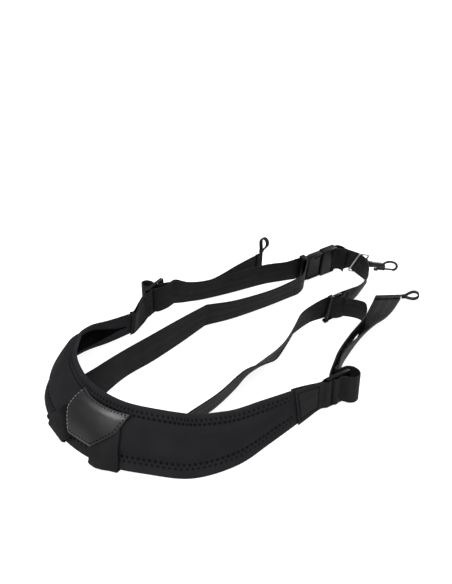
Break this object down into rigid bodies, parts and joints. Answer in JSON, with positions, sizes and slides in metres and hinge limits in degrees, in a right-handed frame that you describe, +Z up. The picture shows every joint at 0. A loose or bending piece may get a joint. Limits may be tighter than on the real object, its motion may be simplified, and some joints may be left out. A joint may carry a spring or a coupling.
{
  "type": "saxophone harness",
  "caption": "Padded shoulder harness for carrying a saxophone: a crescent yoke pad, webbing straps with ladder locks, a side-release chest buckle and a swivel snap hook.",
  "frame": {"origin": "on the table under the middle of the harness's box", "axes": "+Y from the back patch to the hook, +Z up off the table, +X towards the wearer's right side of the pad"},
  "size_m": [0.3418, 0.5963, 0.0636],
  "materials": {
    "pad_cloth": "charcoal knit over foam, matt",
    "lining_cloth": "black soft lining, matt",
    "patch_leather": "smooth dark grey leather",
    "webbing": "black woven webbing",
    "black_plastic": "black moulded plastic, satin",
    "ring_steel": "bright plated wire",
    "hook_metal": "dark grey plated casting"
  },
  "bodies": {
    "root": {"pad_body": "pad_cloth", "pad_lining": "lining_cloth", "back_patch": "patch_leather", "left_strap": "webbing", "right_strap": "webbing", "chest_strap": "webbing", "left_pad_tab": "webbing", "right_pad_tab": "webbing", "left_pull_loop": "webbing", "right_pull_loop": "webbing", "left_ladder_lock": "black_plastic", "right_ladder_lock": "black_plastic", "slide_loop": "black_plastic", "buckle_male": "black_plastic", "buckle_female": "black_plastic", "hook_ring": "ring_steel"},
    "eye": {"hook_eye": "hook_metal"},
    "hook": {"hook_body": "hook_metal"},
    "bolt": {"hook_bolt": "hook_metal"}
  },
  "joints": [
    {"name": "hook_swing", "type": "hinge", "parent": "root", "child": "eye", "pos_m": [-0.0115, 0.24976, 0.02], "axis": [0.473, -0.0616, 0.8789], "range_deg": [-8, 80]},
    {"name": "hook_swivel", "type": "hinge", "parent": "eye", "child": "hook", "pos_m": [-0.0115, 0.24976, 0.02], "axis": [0.5254, 0.8206, -0.2252], "continuous": true},
    {"name": "bolt_slide", "type": "slide", "parent": "hook", "child": "bolt", "axis": [-0.5254, -0.8206, 0.2252], "range_m": [0, 0.0062]}
  ]
}
